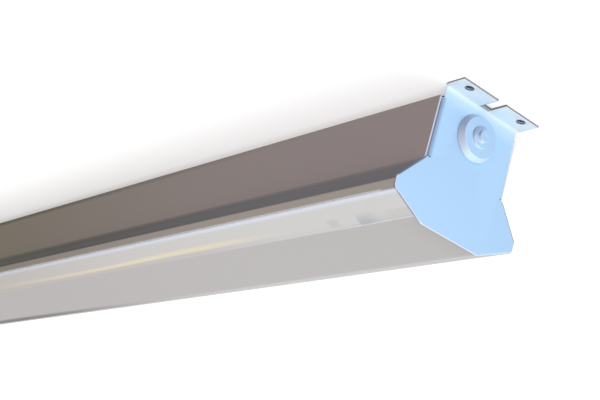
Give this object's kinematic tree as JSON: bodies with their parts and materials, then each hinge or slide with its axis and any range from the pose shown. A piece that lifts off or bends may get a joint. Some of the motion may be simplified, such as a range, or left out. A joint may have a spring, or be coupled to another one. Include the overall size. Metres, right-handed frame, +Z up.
{
  "type": "batten light",
  "caption": "Surface-mounted tubular batten light: folded spine with wings, flanged end plates, cable grommets, drop-down gear tray, lamp in rotary holders and a wrap cover.",
  "frame": {"origin": "centre of the four ceiling screw holes, on the plane of the ceiling", "axes": "+X along the light towards the end that holds the supply terminals, +Z up into the ceiling, +Y across the light"},
  "size_m": [1.301, 0.092, 0.0837],
  "materials": {
    "housing_paint": "satin warm grey paint",
    "plate_paint": "satin pale blue paint",
    "tray_paint": "gloss white reflector paint",
    "gear_paint": "white coated steel",
    "grommet_rubber": "soft pale blue rubber",
    "black_plastic": "moulded",
    "white_plastic": "moulded",
    "orange_plastic": "moulded",
    "opal_plastic": "extruded translucent cover",
    "zinc_steel": "zinc plated",
    "spring_steel": "bright spring strip",
    "contact_brass": "bare",
    "board_green": "circuit board",
    "lead_brown": "insulation",
    "lead_blue": "insulation",
    "lead_earth": "green and yellow insulation",
    "lead_white": "insulation",
    "lamp_glass": "phosphor coated tube",
    "stem_glass": "clear",
    "cathode_metal": "dark wire",
    "cap_aluminium": "bright",
    "disc_brown": "insulating disc"
  },
  "bodies": {
    "housing_unit": {"housing": "housing_paint", "end_plate_near": "plate_paint", "end_plate_far": "plate_paint", "cable_grommet_near": "grommet_rubber", "cable_grommet_far": "grommet_rubber", "entry_plug": "black_plastic", "tray_bridges": "zinc_steel", "terminal_block": "white_plastic", "terminal_screws": "zinc_steel", "contact_bars": "contact_brass", "earth_stud": "contact_brass", "earth_nuts": "zinc_steel", "earth_lug": "contact_brass", "earth_lead": "lead_earth", "supply_socket": "white_plastic", "socket_screws": "zinc_steel", "supply_lead_live": "lead_brown", "supply_lead_neutral": "lead_blue", "supply_lead_earth": "lead_earth"},
    "lever_live": {"lever_live": "orange_plastic"},
    "lever_neutral": {"lever_neutral": "orange_plastic"},
    "lever_earth": {"lever_earth": "orange_plastic"},
    "tray_unit": {"gear_tray": "tray_paint", "tray_screws": "zinc_steel", "tray_screw_rings": "black_plastic", "gear_base": "gear_paint", "gear_cover": "gear_paint", "gear_board": "board_green", "gear_terminals": "white_plastic", "gear_screws": "zinc_steel", "supply_plug": "white_plastic", "plug_pins": "contact_brass", "plug_screws": "zinc_steel", "lampholder_near": "white_plastic", "lampholder_far": "white_plastic", "holder_contacts_near": "contact_brass", "holder_contacts_far": "contact_brass", "plug_lead_live": "lead_brown", "plug_lead_neutral": "lead_blue", "plug_lead_earth": "lead_earth", "lamp_leads_near": "lead_white", "lamp_leads_far": "lead_white", "lead_clips": "white_plastic", "cover_clips": "spring_steel", "clip_rivets": "zinc_steel"},
    "lamp": {"lamp_tube": "lamp_glass", "lamp_stems": "stem_glass", "lamp_cathodes": "cathode_metal", "lamp_cap_near": "cap_aluminium", "lamp_cap_far": "cap_aluminium", "cap_discs": "disc_brown", "lamp_pins": "contact_brass", "rotor_near": "white_plastic", "rotor_far": "white_plastic"},
    "cover": {"diffuser": "opal_plastic"}
  },
  "joints": [
    {"name": "tray_drop", "type": "slide", "parent": "housing_unit", "child": "tray_unit", "axis": [0, 0, -1], "range_m": [0, 0.1]},
    {"name": "cover_release", "type": "slide", "parent": "tray_unit", "child": "cover", "axis": [0, 0, -1], "range_m": [0, 0.06]},
    {"name": "lamp_turn", "type": "hinge", "parent": "tray_unit", "child": "lamp", "pos_m": [0, 0, -0.0625], "axis": [1, 0, 0], "range_deg": [0, 90]},
    {"name": "lever_live_swing", "type": "hinge", "parent": "housing_unit", "child": "lever_live", "pos_m": [0.546, -0.0096, -0.0224], "axis": [0, -1, 0], "range_deg": [0, 85]},
    {"name": "lever_earth_swing", "type": "hinge", "parent": "housing_unit", "child": "lever_earth", "pos_m": [0.546, 0, -0.0224], "axis": [0, -1, 0], "range_deg": [0, 85]},
    {"name": "lever_neutral_swing", "type": "hinge", "parent": "housing_unit", "child": "lever_neutral", "pos_m": [0.546, 0.0096, -0.0224], "axis": [0, -1, 0], "range_deg": [0, 85]}
  ]
}
